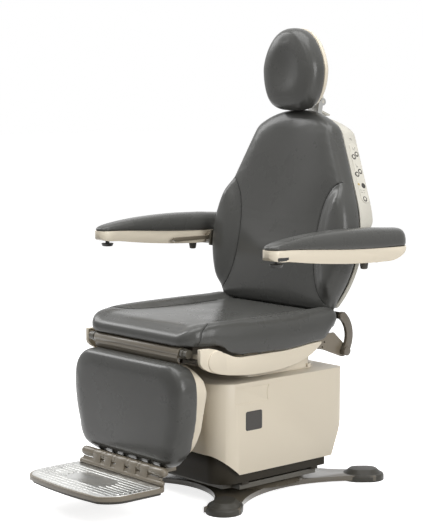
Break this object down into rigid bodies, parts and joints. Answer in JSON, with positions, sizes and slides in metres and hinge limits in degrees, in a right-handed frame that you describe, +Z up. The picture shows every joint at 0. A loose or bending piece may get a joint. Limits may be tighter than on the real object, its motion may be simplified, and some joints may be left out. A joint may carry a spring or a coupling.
{
  "type": "ophthalmic examination chair",
  "caption": "Powered examination chair with a lifting column, reclining padded back and headrest, tilting armrests, linked legrest and a folding ribbed footplate on a swivel base.",
  "frame": {"origin": "on the floor, under the middle of the chair's footprint at rest", "axes": "+Z up, the patient faces -Y, +X is the patient's left; the chair is symmetric about the plane X = 0 apart from the key panel, the control box and the inlet"},
  "size_m": [0.825, 1.0092, 1.335],
  "materials": {
    "upholstery": "satin",
    "beige_plastic": "semi-gloss",
    "taupe_metal": "satin",
    "dark_metal": "satin",
    "dark_plastic": "satin",
    "black_rubber": "matte",
    "black_plastic": "satin",
    "board": "matte",
    "steel": "satin",
    "cast_base": "painted satin",
    "aluminium": "brushed",
    "panel": "satin"
  },
  "bodies": {
    "base": {"base_casting": "cast_base", "foot_caps": "black_rubber", "bearing_race": "steel"},
    "swivel": {"turntable": "dark_metal", "base_skirt": "dark_plastic", "base_cover": "beige_plastic", "column_outer": "steel", "lift_motor": "steel", "control_box": "black_plastic", "power_inlet": "black_plastic"},
    "pedal": {"lock_pedal": "black_rubber"},
    "stage": {"column_middle": "steel", "shroud_middle": "beige_plastic", "lift_screw": "steel"},
    "lift": {"column_inner": "steel", "shroud_inner": "beige_plastic", "lift_tube": "steel", "seat_frame": "dark_metal", "seat_board": "board", "seat_cushion": "upholstery", "seat_cover_left": "beige_plastic", "seat_cover_right": "beige_plastic", "seat_plates": "dark_metal", "leg_shaft": "steel", "recline_motor": "steel", "leg_motor": "steel"},
    "recline_ram": {"recline_ram": "steel"},
    "leg_ram": {"leg_ram": "steel"},
    "back": {"back_links": "taupe_metal", "back_frame": "dark_metal", "back_cushion": "upholstery", "back_shell": "beige_plastic", "key_panel": "panel", "arm_brackets": "dark_metal"},
    "key_lift_up": {"key_lift_up": "black_plastic"},
    "key_lift_down": {"key_lift_down": "black_plastic"},
    "key_back_up": {"key_back_up": "black_plastic"},
    "key_back_down": {"key_back_down": "black_plastic"},
    "key_exit": {"key_exit": "black_plastic"},
    "key_stop": {"key_stop": "black_plastic"},
    "headrest_post": {"headrest_post": "steel"},
    "headrest_link": {"headrest_link": "dark_metal"},
    "headrest": {"headrest_shell": "beige_plastic", "headrest_cushion": "upholstery"},
    "headrest_lever": {"headrest_lever": "black_plastic"},
    "arm_left": {"arm_pad_left": "upholstery", "arm_shell_left": "beige_plastic", "arm_rail_left": "taupe_metal"},
    "arm_right": {"arm_pad_right": "upholstery", "arm_shell_right": "beige_plastic", "arm_rail_right": "taupe_metal"},
    "arm_knob_left": {"arm_knob_left": "black_plastic"},
    "arm_knob_right": {"arm_knob_right": "black_plastic"},
    "legrest": {"leg_frame": "taupe_metal", "leg_shell": "beige_plastic", "leg_pad": "upholstery"},
    "footrest": {"footrest_tray": "taupe_metal", "footrest_tread": "aluminium", "footrest_bumper": "black_rubber"}
  },
  "joints": [
    {"name": "swivel_turn", "type": "hinge", "parent": "base", "child": "swivel", "pos_m": [0, 0.16866, 0.035], "axis": [0, 0, 1], "range_deg": [-165, 165]},
    {"name": "pedal_press", "type": "hinge", "parent": "swivel", "child": "pedal", "pos_m": [0, 0.32866, 0.0463], "axis": [-1, 0, 0], "range_deg": [0, 8], "stiffness_Nm_per_rad": 8, "springref_deg": -8.59},
    {"name": "seat_lift", "type": "slide", "parent": "swivel", "child": "lift", "axis": [0, 0, 1], "range_m": [0, 0.4]},
    {"name": "stage_lift", "type": "slide", "parent": "swivel", "child": "stage", "axis": [0, 0, 1], "range_m": [0, 0.2]},
    {"name": "recline", "type": "hinge", "parent": "lift", "child": "back", "pos_m": [0, 0.34066, 0.4], "axis": [-1, 0, 0], "range_deg": [0, 72]},
    {"name": "legrest_lift", "type": "hinge", "parent": "lift", "child": "legrest", "pos_m": [0, -0.22634, 0.45], "axis": [-1, 0, 0], "range_deg": [0, 72]},
    {"name": "recline_ram_slide", "type": "slide", "parent": "lift", "child": "recline_ram", "axis": [0, 1, 0], "range_m": [0, 0.0475]},
    {"name": "leg_ram_slide", "type": "slide", "parent": "lift", "child": "leg_ram", "axis": [0, -1, 0], "range_m": [0, 0.064]},
    {"name": "arm_left_tilt", "type": "hinge", "parent": "back", "child": "arm_left", "pos_m": [0.37, 0.31866, 0.69], "axis": [-1, 0, 0], "range_deg": [-72, 85]},
    {"name": "arm_knob_left_press", "type": "slide", "parent": "arm_left", "child": "arm_knob_left", "axis": [0, 0, 1], "range_m": [0, 0.006], "stiffness_N_per_m": 600, "springref_m": -0.002},
    {"name": "arm_right_tilt", "type": "hinge", "parent": "back", "child": "arm_right", "pos_m": [-0.37, 0.31866, 0.69], "axis": [-1, 0, 0], "range_deg": [-72, 85]},
    {"name": "arm_knob_right_press", "type": "slide", "parent": "arm_right", "child": "arm_knob_right", "axis": [0, 0, 1], "range_m": [0, 0.006], "stiffness_N_per_m": 600, "springref_m": -0.002},
    {"name": "headrest_slide", "type": "slide", "parent": "back", "child": "headrest_post", "axis": [0, 0.1668, 0.986], "range_m": [0, 0.09]},
    {"name": "headrest_swing", "type": "hinge", "parent": "headrest_post", "child": "headrest_link", "pos_m": [0, 0.46866, 1.116], "axis": [-1, 0, 0], "range_deg": [0, 30]},
    {"name": "headrest_tilt", "type": "hinge", "parent": "headrest_link", "child": "headrest", "pos_m": [0, 0.45066, 1.2], "axis": [-1, 0, 0], "range_deg": [0, 30]},
    {"name": "headrest_lever_press", "type": "hinge", "parent": "headrest_post", "child": "headrest_lever", "pos_m": [0, 0.46153, 1.09185], "axis": [1, 0, 0], "range_deg": [0, 15], "stiffness_Nm_per_rad": 1, "springref_deg": -5.73},
    {"name": "footrest_fold", "type": "hinge", "parent": "legrest", "child": "footrest", "pos_m": [0, -0.28134, 0.128], "axis": [-1, 0, 0], "range_deg": [0, 88]},
    {"name": "key_lift_up_press", "type": "slide", "parent": "back", "child": "key_lift_up", "axis": [-0.898, -0.0734, -0.4339], "range_m": [0, 0.001], "stiffness_N_per_m": 300},
    {"name": "key_lift_down_press", "type": "slide", "parent": "back", "child": "key_lift_down", "axis": [-0.898, -0.0734, -0.4339], "range_m": [0, 0.001], "stiffness_N_per_m": 300},
    {"name": "key_back_up_press", "type": "slide", "parent": "back", "child": "key_back_up", "axis": [-0.898, -0.0734, -0.4339], "range_m": [0, 0.001], "stiffness_N_per_m": 300},
    {"name": "key_back_down_press", "type": "slide", "parent": "back", "child": "key_back_down", "axis": [-0.898, -0.0734, -0.4339], "range_m": [0, 0.001], "stiffness_N_per_m": 300},
    {"name": "key_exit_press", "type": "slide", "parent": "back", "child": "key_exit", "axis": [-0.898, -0.0734, -0.4339], "range_m": [0, 0.001], "stiffness_N_per_m": 300},
    {"name": "key_stop_press", "type": "slide", "parent": "back", "child": "key_stop", "axis": [-0.898, -0.0734, -0.4339], "range_m": [0, 0.001], "stiffness_N_per_m": 300}
  ],
  "couplings": [
    {"joint": "stage_lift", "follows": "seat_lift", "ratio": 0.5},
    {"joint": "legrest_lift", "follows": "recline", "ratio": 1},
    {"joint": "recline_ram_slide", "follows": "recline", "m_per_rad": 0.0374},
    {"joint": "leg_ram_slide", "follows": "recline", "m_per_rad": 0.0505}
  ]
}
